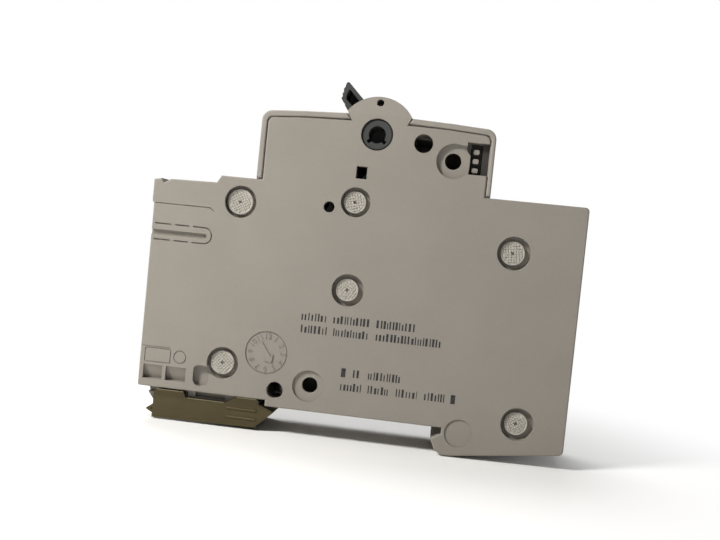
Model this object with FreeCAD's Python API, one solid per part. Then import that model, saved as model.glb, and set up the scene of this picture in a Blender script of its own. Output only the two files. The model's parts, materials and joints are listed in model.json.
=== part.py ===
import FreeCAD, Part
import math
import os

# One-pole modular circuit breaker for a 35 mm rail, toggle at OFF. Millimetres.
# X runs along the height of the device (-X: rail latch end, +X: fixed hook end),
# Y across its one-module width, Z away from the rail. The origin is on the rail seat,
# at the middle of the nose and of the width.

# ---------------------------------------------------------------- driving dimensions
HALF_WIDTH = 8.75
WALL = 1.4
PARTING_Y = -1.5
LATCH_END_X = -42.1
HOOK_END_X = 40.85
LATCH_SHOULDER_Z = 41.9
HOOK_SHOULDER_Z = 44.05
NOSE_HALF = 22.4
NOSE_EDGE_Z = 56.8
NOSE_TOP_Z = 57.65
FASCIA_THICK = 1.1
FASCIA_GAP = 0.15
HOOK_FASCIA_THIN = 0.25
SKIRT_Z = 1.2
SIDE_RIM_R = 0.3
FIT = 0.05

HUB_X = 0.0
HUB_Z = 54.0
LOBE_R = 7.3
DRUM_R = 7.1
DRUM_INNER_R = 5.0
DRUM_HALF = 5.4
TRUNNION_R = 3.0
TIE_BORE_R = 1.65
TIE_BORE_FLOOR = 2.0
SPRING_POST = (4.6, 45.4)
CRANK_R = 4.0
CRANK_ANGLE = 38.0
LINK_WIRE_R = 0.75

CARRIER_X = -12.0
CARRIER_Z = 28.0
CARRIER_TRAVEL = 19.0
CARRIER_PIN_R = 1.2
LINK_FOOT = (-10.0, 41.0)
LINK_WINDOW = (-10.30, 40.51)
LINK_WINDOW_R = 1.5
CONTACT_HEEL = (-10.5, 21.5)
CONTACT_TOE = (2.0, 13.0)
ARM_THICK = 1.0
TIP_THICK = 1.2

TRIP_X = 3.5
TRIP_Z = 38.5
TRIP_PIN_R = 0.9
TRIP_HOOK = (-22.3, 27.5)

COIL_Z = 29.0
PLUNGER_R = 2.5
HAMMER_R = 0.8

BOSS_R = 2.2
RIVET_R = 1.2
WELL_DEPTH = 1.7
# centre x, centre z, well radius, head radius
RIVETS = [
    (-24.95, 38.80, 3.10, 2.50),
    (-2.75, 40.85, 2.85, 2.15),
    (-2.55, 24.00, 3.10, 2.20),
    (27.90, 34.20, 3.15, 2.30),
    (-25.40, 7.40, 3.10, 2.35),
    (31.85, 2.35, 3.10, 2.20),
]

# terminal: screw axis x, height of the shoulder above it, direction of the wire entry
LOAD_TERMINAL = (-34.5, LATCH_SHOULDER_Z, -1)
LINE_TERMINAL = (34.8, HOOK_SHOULDER_Z, 1)
SCREW_HEAD_R = 3.3
SCREW_BORE_R = 3.38
SCREW_THREAD_R = 2.4
WIRE_ENTRY_R = 3.9
# depths below the shoulder surface
HEAD_TOP = 0.7
HEAD_UNDER = 2.9
LEDGE_UNDER = 4.1
THREAD_END = 11.65
CAGE_TOP = 8.0
CAGE_ROOF = 10.0
BAR_TOP = 11.7
BAR_THICK = 1.4
CAGE_FLOOR = 21.0
CAGE_UNDER = 22.2
WIRE_CENTRE = 17.05
CAGE_HALF = 5.6
CAGE_INNER_HALF = 4.5
BAR_HALF = 4.2

CLIP_SHEET = 0.8
CLIP_INNER_HALF = 6.2
TONGUE_HALF = 5.9


# ---------------------------------------------------------------- drawing helpers
def vec(x, y, z):
    return FreeCAD.Vector(x, y, z)


def box(x0, x1, y0, y1, z0, z1):
    return Part.makeBox(x1 - x0, y1 - y0, z1 - z0, vec(x0, y0, z0))


def cyl_x(y, z, r, x0, x1):
    return Part.makeCylinder(r, x1 - x0, vec(x0, y, z), vec(1, 0, 0))


def cyl_y(x, z, r, y0, y1):
    return Part.makeCylinder(r, y1 - y0, vec(x, y0, z), vec(0, 1, 0))


def cyl_z(x, y, r, z0, z1):
    return Part.makeCylinder(r, z1 - z0, vec(x, y, z0), vec(0, 0, 1))


def prism(points, y0, y1):
    """Extrude an outline in X and Z along Y. A point (x, z, r) gets its corner rounded to r."""
    edges = []
    count = len(points)
    starts = []
    ends = []
    arcs = []
    for i in range(count):
        here = vec(points[i][0], y0, points[i][1])
        radius = points[i][2] if len(points[i]) > 2 else 0.0
        if radius == 0.0:
            starts.append(here)
            ends.append(here)
            arcs.append(None)
            continue
        back = vec(points[i - 1][0], y0, points[i - 1][1]) - here
        ahead = vec(points[(i + 1) % count][0], y0, points[(i + 1) % count][1]) - here
        back.normalize()
        ahead.normalize()
        half_angle = back.getAngle(ahead) / 2
        inward = back + ahead
        inward.normalize()
        trim = radius / math.tan(half_angle)
        reach = radius / math.sin(half_angle) - radius
        starts.append(here + back * trim)
        ends.append(here + ahead * trim)
        arcs.append(here + inward * reach)
    for i in range(count):
        if arcs[i] is not None:
            edges.append(Part.Arc(starts[i], arcs[i], ends[i]).toShape())
        following = starts[(i + 1) % count]
        if ends[i].distanceToPoint(following) > 1e-6:
            edges.append(Part.LineSegment(ends[i], following).toShape())
    return Part.Face(Part.Wire(edges)).extrude(vec(0, y1 - y0, 0))


def fuse(shapes):
    whole = shapes[0]
    if len(shapes) > 1:
        whole = whole.fuse(shapes[1:])
    return whole.removeSplitter()


def cut(shape, tools):
    return shape.cut(tools).removeSplitter()


def spin(shape, x, z, degrees):
    """Turn about an axis along Y; positive carries +Z towards +X."""
    turned = shape.copy()
    turned.rotate(vec(x, 0, z), vec(0, 1, 0), degrees)
    return turned


def coil(centre, axis, mean_r, wire_r, length, turns):
    """A helical wire that starts at centre and runs length along axis."""
    helix = Part.Wire(Part.makeHelix(length / turns, length, mean_r).Edges)
    profile = Part.Wire(Part.makeCircle(wire_r, vec(mean_r, 0, 0), vec(0, 1, 0)))
    wire = helix.makePipeShell([profile], True, True)
    turn = FreeCAD.Rotation(vec(0, 0, 1), axis)
    wire.Placement = FreeCAD.Placement(centre, turn)
    return wire


def flat_coil(centre, mean_r, wire_r, length, turns):
    """A closely wound coil along Y in short straight runs, starting on the +X side."""
    runs_per_turn = 16
    count = turns * runs_per_turn
    points = []
    for i in range(count + 1):
        a = 2 * math.pi * i / runs_per_turn
        points.append(centre + vec(mean_r * math.cos(a), length * i / count, -mean_r * math.sin(a)))
    profile = Part.Wire(Part.makeCircle(wire_r, points[0], points[1] - points[0]))
    mitred_corners = 1
    return Part.makePolygon(points).makePipeShell([profile], True, False, mitred_corners)


def rod(start, end, r):
    """A straight wire with rounded ends."""
    along = end - start
    shaft = Part.makeCylinder(r, along.Length, start, along)
    return shaft.fuse([Part.makeSphere(r, start), Part.makeSphere(r, end)])


def bent_rod(points, r):
    return fuse([rod(points[i], points[i + 1], r) for i in range(len(points) - 1)])


def strip(points, thick, y0, y1):
    """Sheet metal bent along a line in X and Z, with thick measured to the right of travel."""
    left = []
    right = []
    for i in range(len(points)):
        before = points[max(i - 1, 0)]
        after = points[min(i + 1, len(points) - 1)]
        here = points[i]
        normals = []
        for a, b in ((before, here), (here, after)):
            length = math.hypot(b[0] - a[0], b[1] - a[1])
            if length > 0:
                normals.append(((b[1] - a[1]) / length, -(b[0] - a[0]) / length))
        n = (sum(m[0] for m in normals), sum(m[1] for m in normals))
        scale = thick * len(normals) / (n[0] ** 2 + n[1] ** 2)
        left.append(here)
        right.append((here[0] + n[0] * scale, here[1] + n[1] * scale))
    return prism(left + right[::-1], y0, y1)


# ---------------------------------------------------------------- casing
def casing_block():
    """The outer form of both halves together, before anything is hollowed."""
    nose_left = -NOSE_HALF + FASCIA_THICK + FASCIA_GAP
    nose_right = NOSE_HALF - FASCIA_THICK + HOOK_FASCIA_THIN - FASCIA_GAP
    inset = FASCIA_THICK + FASCIA_GAP
    side = [
        (LATCH_END_X + 0.2, SKIRT_Z, 0.4),
        (LATCH_END_X, 37.0),
        (LATCH_END_X - 0.35, 37.3),
        (LATCH_END_X - 0.35, 41.6),
        (-41.0, LATCH_SHOULDER_Z),
        (-40.4, LATCH_SHOULDER_Z - 0.8),
        (-39.1, LATCH_SHOULDER_Z),
        (-30.0, LATCH_SHOULDER_Z + 0.2),
        (-29.2, LATCH_SHOULDER_Z + 1.6, 0.3),
        (nose_left, LATCH_SHOULDER_Z + 1.6),
        (nose_left, NOSE_EDGE_Z - inset, 1.2),
        (-14.0, NOSE_TOP_Z - 0.35 - inset),
        (0.0, NOSE_TOP_Z - inset),
        (14.0, NOSE_TOP_Z - 0.35 - inset),
        (nose_right, NOSE_EDGE_Z - inset, 1.2),
        (nose_right, HOOK_SHOULDER_Z),
        (HOOK_END_X, HOOK_SHOULDER_Z, 0.8),
        (HOOK_END_X, -2.52, 1.0),
        (19.8, -5.15, 0.8),
        (18.2, -5.15, 0.8),
        (16.9, -4.4, 0.3),
        (15.9, -2.25),
        (17.85, -1.15),
        (17.85, 0.0),
        (-16.4, 0.0),
        (-16.4, SKIRT_Z),
    ]
    block = round_side_rims(prism(side, -HALF_WIDTH, HALF_WIDTH))
    return block.fuse(lobe_block()).removeSplitter()


def round_side_rims(block):
    """Round the edges where the outline meets either side face."""
    rims = []
    for edge in block.Edges:
        if all(abs(abs(v.Point.y) - HALF_WIDTH) < 1e-6 for v in edge.Vertexes):
            if abs(abs(edge.CenterOfMass.y) - HALF_WIDTH) < 1e-6:
                rims.append(edge)
    return block.makeFillet(SIDE_RIM_R, rims)


def lobe_block():
    """The raised collar around the toggle; its flanks lean inward near the top."""
    flanks = [
        (-4.85, 55.8), (-6.10, 58.1), (-8.0, 59.0), (-8.0, 62.0),
        (8.0, 62.0), (8.0, 59.0), (6.45, 58.0), (5.35, 55.8),
    ]
    lobe = cyl_y(HUB_X, HUB_Z, LOBE_R, -HALF_WIDTH, HALF_WIDTH)
    lobe = lobe.common(prism(flanks, -HALF_WIDTH, HALF_WIDTH))
    lean = []
    for sign in (-1, 1):
        wedge = Part.makePolygon([
            vec(-9, sign * HALF_WIDTH, 57.7),
            vec(-9, sign * (HALF_WIDTH - 0.95), 61.6),
            vec(-9, sign * (HALF_WIDTH + 1), 61.6),
            vec(-9, sign * (HALF_WIDTH + 1), 57.7),
            vec(-9, sign * HALF_WIDTH, 57.7),
        ])
        lean.append(Part.Face(wedge).extrude(vec(18, 0, 0)))
    return lobe.cut(lean)


def cavity():
    """The room inside the casing for the mechanism."""
    inner = HALF_WIDTH - WALL
    room = prism([
        (-39.9, 12.0), (-39.9, LATCH_SHOULDER_Z - LEDGE_UNDER),
        (-28.9, LATCH_SHOULDER_Z - LEDGE_UNDER), (-28.3, 41.9), (-19.8, 41.9),
        (-19.6, 54.4), (19.9, 54.4), (20.0, 42.5), (30.0, 42.5),
        (30.5, HOOK_SHOULDER_Z - LEDGE_UNDER), (38.8, HOOK_SHOULDER_Z - LEDGE_UNDER),
        (38.8, 1.5), (-16.0, 1.5), (-17.0, 3.0), (-29.5, 3.0), (-29.5, 12.0),
    ], -inner, inner)
    slot_half = DRUM_HALF + 0.25
    drum = cyl_y(HUB_X, HUB_Z, DRUM_R + 0.15, -slot_half, slot_half)
    mouth = box(-8, 8, -slot_half, slot_half, HUB_Z + 3.0, HUB_Z + 9.0)
    return room.fuse([drum, mouth])


def terminal_passages(terminal):
    """Screw shaft, driver bore and wire entry of one terminal, as cutting tools."""
    x, top, side = terminal
    entry_z = top - WIRE_CENTRE
    outer = LATCH_END_X if side < 0 else HOOK_END_X
    inner = x + side * 4.0
    tools = [
        cyl_z(x, 0, SCREW_BORE_R, top - HEAD_UNDER - FIT, top + 2),
        cyl_z(x, 0, SCREW_THREAD_R + 0.1, top - LEDGE_UNDER - 0.1, top - HEAD_UNDER),
        cyl_x(0, entry_z, WIRE_ENTRY_R, min(inner, outer + side), max(inner, outer + side)),
    ]
    funnel_back = vec(outer - side * 0.6, 0, entry_z)
    tools.append(Part.makeCone(WIRE_ENTRY_R, WIRE_ENTRY_R + 0.7, 0.7, funnel_back, vec(side, 0, 0)))
    return tools


def cover_wells():
    """Stake wells on both outer faces."""
    wells = []
    for x, z, well_r, head_r in RIVETS:
        wells.append(cyl_y(x, z, well_r, -HALF_WIDTH - 1, -HALF_WIDTH + WELL_DEPTH))
        wells.append(cyl_y(x, z, well_r, HALF_WIDTH - WELL_DEPTH, HALF_WIDTH + 1))
        wells.append(cyl_y(x, z, RIVET_R + FIT, -HALF_WIDTH, HALF_WIDTH))
    return wells


def bosses():
    """Columns around the stakes and the floors of their wells, in both halves."""
    solids = []
    floor = HALF_WIDTH - WELL_DEPTH - 1.35
    for x, z, well_r, head_r in RIVETS:
        solids.append(cyl_y(x, z, BOSS_R, -HALF_WIDTH + WALL, HALF_WIDTH - WALL))
        solids.append(cyl_y(x, z, well_r + 1.2, -HALF_WIDTH + 0.5, -floor))
        solids.append(cyl_y(x, z, well_r + 1.2, floor, HALF_WIDTH - 0.5))
    pivots = ((CARRIER_X, CARRIER_Z, 2.3), (TRIP_X, TRIP_Z, 1.8))
    for x, z, r in pivots:
        solids.append(cyl_y(x, z, r, -HALF_WIDTH + 0.5, -5.6))
        solids.append(cyl_y(x, z, r, 5.6, HALF_WIDTH - 0.5))
    for sign in (-1, 1):
        low = min(sign * 5.65, sign * 8.0)
        solids.append(cyl_y(HUB_X, HUB_Z, 5.2, low, low + 2.35))
    return solids


def pivot_holes():
    tools = [cyl_y(HUB_X, HUB_Z, TRUNNION_R + FIT, -HALF_WIDTH - 1, HALF_WIDTH + 1)]
    for x, z, r in ((CARRIER_X, CARRIER_Z, CARRIER_PIN_R), (TRIP_X, TRIP_Z, TRIP_PIN_R)):
        tools.append(cyl_y(x, z, r + 0.02, -7.52, 7.52))
    tools.append(cyl_y(HUB_X, 60.1, 0.68, -HALF_WIDTH - 1, HALF_WIDTH + 1))
    return tools


def tongue():
    """The guide under the casing that the rail clip slides on."""
    side = [
        (-41.0, 1.6), (-40.4, -0.4), (-39.0, -2.2), (-37.6, -3.7), (-22.7, -3.7), (-22.7, 1.6),
    ]
    body = prism(side, -TONGUE_HALF, TONGUE_HALF)
    tools = [box(-33.6, -23.9, -1.8, 1.8, -4.0, -0.4)]
    for sign in (-1, 1):
        low = min(sign * 4.8, sign * 6.5)
        tools.append(box(-42.0, -32.4, low, low + 1.7, -0.2, SKIRT_Z))
        tools.append(box(-30.9, -24.9, low, low + 1.7, -0.2, SKIRT_Z))
    return body.cut(tools)


def side_recesses():
    """Pockets and moulding marks of the cover face, as cutting tools."""
    face = -HALF_WIDTH
    out = face - 1

    def pocket(points, depth):
        return prism(points, out, face + depth)

    def disc(x, z, r, depth):
        return cyl_y(x, z, r, out, face + depth)

    def frame(points, inner, depth):
        return pocket(points, depth).cut(prism(inner, out, face + depth + 0.5))

    tools = [
        disc(8.95, 53.1, 1.78, 5.0),
        disc(14.8, 50.3, 1.55, 5.0),
        pocket([(14.95, 47.0), (14.95, 53.4), (17.2, 53.4), (17.2, 48.2), (16.2, 47.3)], 0.8),
        disc(14.95, 50.3, 3.3, 0.8),
        pocket([(-3.22, 45.38), (-3.22, 47.72), (-1.18, 47.72), (-1.18, 45.38)], 2.0),
        disc(-7.75, 39.5, 1.05, 2.0),
        disc(-14.7, 3.35, 1.6, 2.0),
        disc(-8.3, 4.85, 3.05, 0.5),
        disc(-8.05, 5.05, 1.5, 2.0),
        disc(21.1, -0.7, 2.65, 0.25),
        disc(-17.0, 10.35, 3.95, 0.12),
        disc(-17.0, 10.35, 4.15, 0.22).cut(disc(-17.0, 10.35, 3.95, 0.3)),
    ]
    # finger pockets with floors that slope deeper towards the bottom
    for x0, x1 in ((-41.0, -37.2), (-36.5, -32.5)):
        slope = Part.Face(Part.makePolygon([
            vec(x0, out, 5.5), vec(x0, face + 0.25, 5.5), vec(x0, face + 1.4, 2.75),
            vec(x0, out, 2.75), vec(x0, out, 5.5),
        ]))
        tools.append(slope.extrude(vec(x1 - x0, 0, 0)))
    # slot with a short channel into the lower stake well
    tools.append(pocket([
        (-31.0, 2.35, 1.4), (-31.0, 6.4, 0.9), (-27.9, 6.4, 0.9), (-27.9, 2.35, 1.4),
    ], 1.2))
    tools.append(pocket([(-29.6, 4.9), (-29.6, 6.4), (-27.0, 6.4), (-27.0, 4.9)], 1.2))
    # busbar knock-out: a broken outline and a slot down its middle
    tools.append(pocket([(-43, 30.9), (-43, 31.9), (-31.0, 31.9, 0.45), (-31.0, 30.9, 0.45)], 0.6))
    for z in (30.0, 33.1):
        for x0, x1 in ((-41.4, -38.2), (-37.4, -34.6), (-33.8, -31.4)):
            tools.append(box(x0, x1, out, face + 0.3, z - 0.12, z + 0.12))
    tools.append(frame(
        [(-31.6, 29.88), (-31.6, 33.22), (-29.88, 33.22, 1.6), (-29.88, 29.88, 1.6)],
        [(-32, 30.12), (-32, 32.98), (-30.12, 32.98, 1.4), (-30.12, 30.12, 1.4)], 0.3,
    ))
    # mould split lines and the empty label frame
    tools.append(pocket([(-41.8, 36.98), (-41.8, 37.12), (-30.8, 37.12), (-29.9, 36.4),
                         (-30.0, 36.28), (-30.9, 36.98)], 0.2))
    tools.append(box(-41.6, -36.0, out, face + 0.08, 9.05, 9.17))
    tools.append(frame(
        [(-41.0, 6.0, 0.3), (-41.0, 8.9, 0.3), (-35.7, 8.9, 0.3), (-35.7, 6.0, 0.3)],
        [(-40.8, 6.2, 0.2), (-40.8, 8.7, 0.2), (-35.9, 8.7, 0.2), (-35.9, 6.2, 0.2)], 0.12,
    ))
    tools.append(disc(-33.9, 7.5, 1.3, 0.12).cut(disc(-33.9, 7.5, 1.1, 0.5)))
    return tools


def indicator_window():
    """Boss behind the accessory window, and the tools that open it around three pads."""
    boss = box(16.2, 21.3, -8.2, -4.6, 47.3, 54.6)
    opening = prism([(17.75, 48.1), (17.95, 49.2), (17.95, 51.6), (17.2, 52.6), (17.2, 54.1),
                     (21.7, 54.1), (21.7, 48.1)], -9.5, -5.8)
    ledge = box(20.2, 21.8, -7.2, -5.5, 47.5, 54.8)
    pads = []
    for z in (49.0, 50.75, 52.5):
        pads.append(prism([(18.45, z - 0.45, 0.25), (18.45, z + 0.45, 0.25),
                           (19.55, z + 0.45, 0.25), (19.55, z - 0.45, 0.25)], -7.6, -5.5))
    return boss, opening.cut([ledge] + pads)


def parting_groove():
    """A fine V at the joint of the two halves, all around the outline."""
    block = casing_block()
    slab = box(-60, 60, PARTING_Y - 0.14, PARTING_Y, -10, 70)
    outer = block.common(slab)
    inner_faces = [f for f in outer.Faces if abs(f.CenterOfMass.y - PARTING_Y) < 1e-6]
    smaller = inner_faces[0].makeOffset2D(-0.14, join=2)
    return outer.cut(smaller.extrude(vec(0, -0.14, 0)))


def vents():
    """Gas outlets in the hook end face, below the wire entry."""
    return [box(38.0, 42.0, -4.6, 4.6, z, z + 0.9) for z in (8.0, 10.2, 12.4, 14.6)]


def casing():
    """Both halves as one block, hollowed and drilled, ready to be parted."""
    solid = casing_block().cut(cavity())
    window_boss, window_opening = indicator_window()
    inside = [b.common(casing_block()) for b in bosses()] + [window_boss]
    solid = solid.fuse(inside)
    solid = solid.fuse(tongue())
    tools = cover_wells() + pivot_holes() + side_recesses() + vents()
    tools += terminal_passages(LOAD_TERMINAL) + terminal_passages(LINE_TERMINAL)
    tools.append(window_opening)
    # access to the calibration screw from the rail side
    tools.append(cyl_z(-14.7, 0, 1.4, -1, 2))
    return solid.cut(tools)


CASING = casing()


def cover_shell():
    half = CASING.common(box(-60, 60, -20, PARTING_Y, -20, 80))
    rib = box(-20.2, -19.0, -7.6, 2.0, 34.0, 38.0)
    spring_post = cyl_y(SPRING_POST[0], SPRING_POST[1], 0.8, -7.6, -2.4)
    half = half.fuse([rib, spring_post])
    return half.cut(parting_groove()).removeSplitter()


def base_shell():
    half = CASING.common(box(-60, 60, PARTING_Y, 20, -20, 80))
    screw_seat = box(-16.9, -12.5, PARTING_Y, 7.6, 4.4, 8.0)
    seat_hole = cyl_z(-14.7, 0, 1.0 + 0.05, 4, 9)
    chute_ribs = [
        box(27.5, 28.4, 3.0, 7.6, 1.2, 18.5),
        box(8.0, 8.6, 5.9, 7.6, 1.2, 17.0),
    ]
    return half.fuse([screw_seat.cut(seat_hole)] + chute_ribs).removeSplitter()


def fascia_outline(side, thick, foot_gap, slit):
    """Side view of one fascia plate; slit is its distance from the lobe at the top."""
    shoulder = HOOK_SHOULDER_Z if side > 0 else LATCH_SHOULDER_Z + 1.6
    foot = shoulder + foot_gap
    lobe_side = 6.26 if side > 0 else 5.83
    slit_foot = 5.75 if side > 0 else 5.30
    inner_side = NOSE_HALF - thick + (HOOK_FASCIA_THIN if side > 0 else 0.0)
    points = [
        (NOSE_HALF, foot), (NOSE_HALF, NOSE_EDGE_Z, 2.0), (14.0, NOSE_TOP_Z - 0.35),
        (lobe_side + slit, NOSE_TOP_Z - 0.04), (slit_foot, NOSE_TOP_Z - thick),
        (14.0, NOSE_TOP_Z - 0.35 - thick), (inner_side, NOSE_EDGE_Z - thick, 1.1), (inner_side, foot),
    ]
    return [(side * p[0],) + p[1:] for p in points]


def fascia(side):
    """L-shaped plate over one half of the nose; side is -1 (latch end) or +1 (hook end)."""
    plate = prism(fascia_outline(side, FASCIA_THICK, 0.3, 0.37), -HALF_WIDTH, HALF_WIDTH)
    plate = round_side_rims(plate)
    # the shadow gap around the plate is only as deep as this margin
    margin = 0.55
    backing = prism(
        fascia_outline(side, FASCIA_THICK + FASCIA_GAP - 0.02, 0.02, 0.05),
        -HALF_WIDTH + margin, HALF_WIDTH - margin,
    )
    slot_half = DRUM_HALF + 0.25
    drum_room = cyl_y(HUB_X, HUB_Z, DRUM_R + 0.15, -slot_half, slot_half)
    return cut(fuse([plate, backing]), [drum_room])


def casing_rivets():
    """Six stakes, each a pin through both halves with a domed head in either well."""
    stakes = []
    for x, z, well_r, head_r in RIVETS:
        cx = x - 0.2
        bottom = HALF_WIDTH - WELL_DEPTH
        pin = cyl_y(x, z, RIVET_R, -bottom, bottom)
        heads = [
            cyl_y(cx, z, head_r, -bottom - 0.85, -bottom),
            cyl_y(cx, z, head_r, bottom, bottom + 0.85),
        ]
        dimples = [
            cyl_y(cx, z, 0.55, -bottom - 0.9, -bottom - 0.45),
            cyl_y(cx, z, 0.55, bottom + 0.45, bottom + 0.9),
        ]
        stakes.append(pin.fuse(heads).cut(dimples).removeSplitter())
    return Part.makeCompound(stakes)


# ---------------------------------------------------------------- toggle and linkage
def polar(r, degrees_left):
    """A point at radius r from the hub, measured from straight up towards -X."""
    a = math.radians(degrees_left)
    return (HUB_X - r * math.sin(a), HUB_Z + r * math.cos(a))


def crank_pin():
    return polar(CRANK_R, 180 + CRANK_ANGLE)


def tie_bores():
    """A blind keyed bore in either end of the toggle hub, as cutting tools."""
    tools = []
    for y0, y1 in ((-9.0, -TIE_BORE_FLOOR), (TIE_BORE_FLOOR, 9.0)):
        tools.append(cyl_y(HUB_X, HUB_Z, TIE_BORE_R, y0, y1))
        for lean in (-48, 48):
            slot = spin(box(-0.35, 0.35, y0, y1, HUB_Z - 2.3, HUB_Z - 1.2), HUB_X, HUB_Z, lean)
            tools.append(slot.common(cyl_y(HUB_X, HUB_Z, 2.3, y0, y1)))
    return tools


def toggle_lever():
    grip = prism([
        (-7.1, 64.4, 0.4), (-3.55, 60.85), (-2.5, 59.4), (-5.2, 57.0),
        (-6.4, 58.4), (-7.2, 59.55), (-7.05, 59.75), (-7.6, 60.2), (-8.0, 60.85), (-7.75, 61.2),
        (-7.85, 61.75), (-7.6, 62.1), (-7.68, 62.65), (-7.42, 63.0),
    ], -DRUM_HALF, DRUM_HALF)
    hollow = [(-6.5, 62.7, 0.2), (-4.4, 60.5, 0.3), (-5.5, 59.3, 0.3), (-7.05, 60.75, 0.2), (-6.95, 61.8)]
    pockets = [prism(hollow, -6, -0.6), prism(hollow, 0.6, 6)]
    first, last = -57.0, 134.0
    sector = cyl_y(HUB_X, HUB_Z, DRUM_R, -DRUM_HALF, DRUM_HALF)
    sector = sector.cut(cyl_y(HUB_X, HUB_Z, DRUM_INNER_R, -6, 6))
    steps = [first + (last - first) * i / 8 for i in range(9)]
    fan = [(HUB_X, HUB_Z)] + [polar(12, a) for a in steps]
    sector = sector.common(prism(fan, -6, 6))
    web = cyl_y(HUB_X, HUB_Z, DRUM_INNER_R + 0.5, -1.5, 1.5).common(prism(fan, -2, 2))
    hub = cyl_y(HUB_X, HUB_Z, TRUNNION_R, -HALF_WIDTH + 0.35, HALF_WIDTH - 0.35)
    rims = [e for e in hub.Edges if abs(abs(e.CenterOfMass.y) - HALF_WIDTH + 0.35) < 1e-6]
    hub = hub.makeChamfer(0.28, rims)
    pin = crank_pin()
    crank = cyl_y(pin[0], pin[1], 1.7, -1.5, 1.5)
    body = fuse([sector, web, hub, crank, grip.cut(pockets)])
    bores = tie_bores()
    pin_hole = cyl_y(pin[0], pin[1], LINK_WIRE_R + FIT, -2, 2)
    seal = cyl_y(HUB_X, 60.1, 0.7, -9, 9)
    return cut(body, bores + [pin_hole, seal])


def toggle_spring():
    """A torsion spring around the hub; its leg is a second solid just below the end of the coil."""
    mean_r, wire_r, inner_end = 3.5, 0.25, -3.0
    wound = flat_coil(vec(HUB_X, inner_end - 2.0, HUB_Z), mean_r, wire_r, 2.0, 3)
    leg = cyl_z(HUB_X + mean_r, inner_end, wire_r, SPRING_POST[1] - 0.6, HUB_Z - 0.1)
    return Part.makeCompound([wound, leg])


def link_wire():
    top = crank_pin()
    foot = LINK_FOOT
    path = [
        vec(top[0], -1.7, top[1]), vec(top[0], 3.2, top[1]),
        vec(foot[0], 3.2, foot[1]), vec(foot[0], -1.7, foot[1]),
    ]
    return bent_rod(path, LINK_WIRE_R)


def contact_axes():
    """Unit vectors along the contact arm and square to it, at OFF."""
    dx = CONTACT_TOE[0] - CONTACT_HEEL[0]
    dz = CONTACT_TOE[1] - CONTACT_HEEL[1]
    length = math.hypot(dx, dz)
    return (dx / length, dz / length), (-dz / length, dx / length)


def on_arm(along, up, radius=0.0):
    """A point measured from the toe of the contact arm at OFF, with its corner radius."""
    d, n = contact_axes()
    x = CONTACT_TOE[0] + d[0] * along + n[0] * up
    z = CONTACT_TOE[1] + d[1] * along + n[1] * up
    return (x, z, radius)


def contact_carrier():
    upper = prism([
        (CARRIER_X - 2.5, CARRIER_Z), (-12.9, 40.0), (-12.6, 42.5), (-8.0, 42.6), (-7.9, 40.0),
        (-8.9, 36.0), (CARRIER_X + 2.5, CARRIER_Z),
    ], -1.5, 1.5)
    hub = cyl_y(CARRIER_X, CARRIER_Z, 2.5, -2.6, 2.6)
    lower = prism([
        (CARRIER_X - 2.4, CARRIER_Z), (-13.2, 23.0, 0.8), (-11.3, 19.6, 0.8), (-7.4, 18.6, 0.4),
        (-8.2, 22.2, 0.8), (CARRIER_X + 2.4, CARRIER_Z),
    ], -2.6, 2.6)
    body = fuse([upper, hub, lower])
    groove = prism([on_arm(-17, -0.5), on_arm(2, -0.5), on_arm(2, 0.5), on_arm(-17, 0.5)], -2.0, 2.0)
    return cut(body, [
        cyl_y(CARRIER_X, CARRIER_Z, CARRIER_PIN_R + FIT, -3, 3),
        cyl_y(LINK_WINDOW[0], LINK_WINDOW[1], LINK_WINDOW_R, -2, 2),
        groove,
    ])


def carrier_pin():
    return cyl_y(CARRIER_X, CARRIER_Z, CARRIER_PIN_R, -7.5, 7.5)


def moving_contact_arm():
    half = ARM_THICK / 2
    return prism([
        on_arm(-13.5, -half), on_arm(2.0, -half), on_arm(2.0, half), on_arm(-13.5, half),
    ], -1.98, 1.98)


def contact_tip(lift):
    """Contact pad on the arm's upper side, lift above its middle plane."""
    return prism([
        on_arm(-1.6, lift), on_arm(1.4, lift), on_arm(1.4, lift + TIP_THICK, 0.3),
        on_arm(-1.6, lift + TIP_THICK, 0.3),
    ], -1.9, 1.9)


def moving_contact_tip():
    return contact_tip(ARM_THICK / 2)


def fixed_contact_tip():
    gap = 0.06
    flipped = prism([
        on_arm(-1.6, 0.5 + TIP_THICK + gap, 0.3), on_arm(1.4, 0.5 + TIP_THICK + gap, 0.3),
        on_arm(1.4, 0.5 + 2 * TIP_THICK + gap), on_arm(-1.6, 0.5 + 2 * TIP_THICK + gap),
    ], -1.9, 1.9)
    return spin(flipped, CARRIER_X, CARRIER_Z, -CARRIER_TRAVEL)


def closed_point(along, up):
    """A point measured from the toe of the contact arm when the contacts are closed."""
    x, z, radius = on_arm(along, up)
    a = math.radians(-CARRIER_TRAVEL)
    dx = x - CARRIER_X
    dz = z - CARRIER_Z
    return (CARRIER_X + dx * math.cos(a) + dz * math.sin(a), CARRIER_Z - dx * math.sin(a) + dz * math.cos(a))


def fixed_contact_arm():
    back = 0.5 + 2 * TIP_THICK + 0.06
    start = closed_point(-2.4, back + 1.0)
    bend = closed_point(2.4, back + 1.0)
    return strip([start, bend, (bend[0] + 2.2, bend[1]), (26.0, bend[1])], 1.0, -3.0, 3.0)


def contact_spring():
    return coil(vec(-18.6, 0, 36.0), vec(1, 0, 0), 1.5, 0.3, 4.6, 4)


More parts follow.
